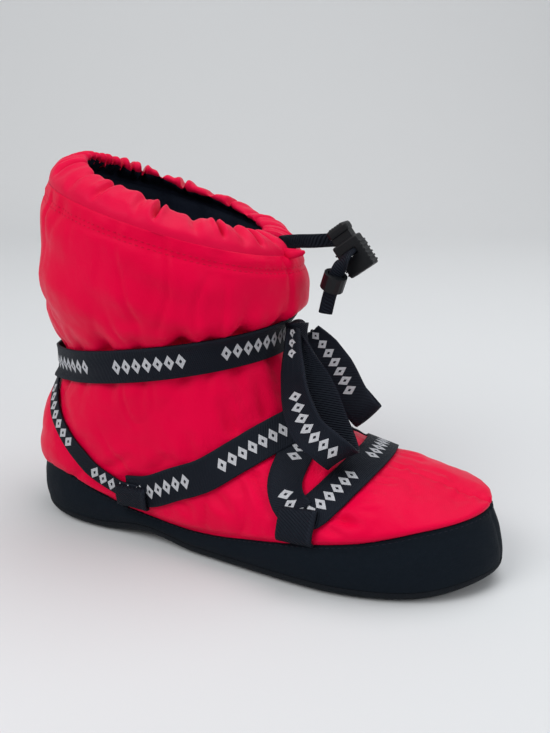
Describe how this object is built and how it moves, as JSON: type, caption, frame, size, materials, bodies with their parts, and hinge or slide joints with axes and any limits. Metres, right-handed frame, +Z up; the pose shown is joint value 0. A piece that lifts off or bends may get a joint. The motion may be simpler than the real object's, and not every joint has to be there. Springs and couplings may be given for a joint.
{
  "type": "insulated snow boot",
  "caption": "Padded ankle-high snow boot with a gathered drawcord collar, crossed flat-webbing lacing tied in a bow, and a dark fabric rand and sole.",
  "frame": {"origin": "on the floor plane under the middle of the sole's length", "axes": "+X towards the toe, +Y towards the wearer's left, +Z up"},
  "size_m": [0.3008, 0.1343, 0.2255],
  "materials": {
    "red_nylon": "padded, slightly glossy",
    "black_fabric": "matt woven",
    "black_webbing": "ribbed flat webbing",
    "foam": "matt",
    "black_plastic": "satin"
  },
  "bodies": {
    "boot": {"outsole": "black_fabric", "rand": "black_fabric", "insole": "foam", "upper": "red_nylon", "collar_casing": "red_nylon", "lacing": "black_webbing", "ankle_band": "black_webbing", "loop_ball_right": "black_webbing", "loop_ball_left": "black_webbing", "loop_heel_right": "black_webbing", "loop_heel_left": "black_webbing", "bow_knot": "black_webbing", "bow_loop_right": "black_webbing", "bow_loop_left": "black_webbing", "drawcord": "black_webbing", "cord_lock_body": "black_plastic", "cord_stop": "black_plastic"},
    "button": {"cord_lock_button": "black_plastic"}
  },
  "joints": [
    {"name": "cord_lock_press", "type": "slide", "parent": "boot", "child": "button", "axis": [0.6018, 0, -0.7986], "range_m": [0, 0.0035], "stiffness_N_per_m": 500, "springref_m": -0.003}
  ]
}
